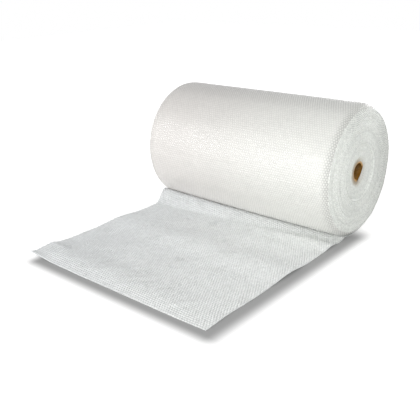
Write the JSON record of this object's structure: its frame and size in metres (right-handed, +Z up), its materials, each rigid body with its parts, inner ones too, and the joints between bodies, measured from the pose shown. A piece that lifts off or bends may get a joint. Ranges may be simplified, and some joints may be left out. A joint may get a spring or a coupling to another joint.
{
  "type": "bubble wrap roll",
  "caption": "Wide roll of clear small-bubble wrap on a cardboard core, lying on its side with a loose end pulled out flat in front.",
  "frame": {"origin": "on the floor, under the core's axis and half way along it, in the flat spot the roll rests on", "axes": "+X along the core, +Y from the loose end towards the back of the roll, +Z up"},
  "size_m": [1.033, 1.344, 0.594],
  "materials": {
    "bubble_film": "clear glossy film, pearly white where it is wound many turns deep",
    "core_board": "plain brown kraft board"
  },
  "bodies": {
    "root": {"bubble_film": "bubble_film", "core_tube": "core_board"}
  },
  "joints": []
}
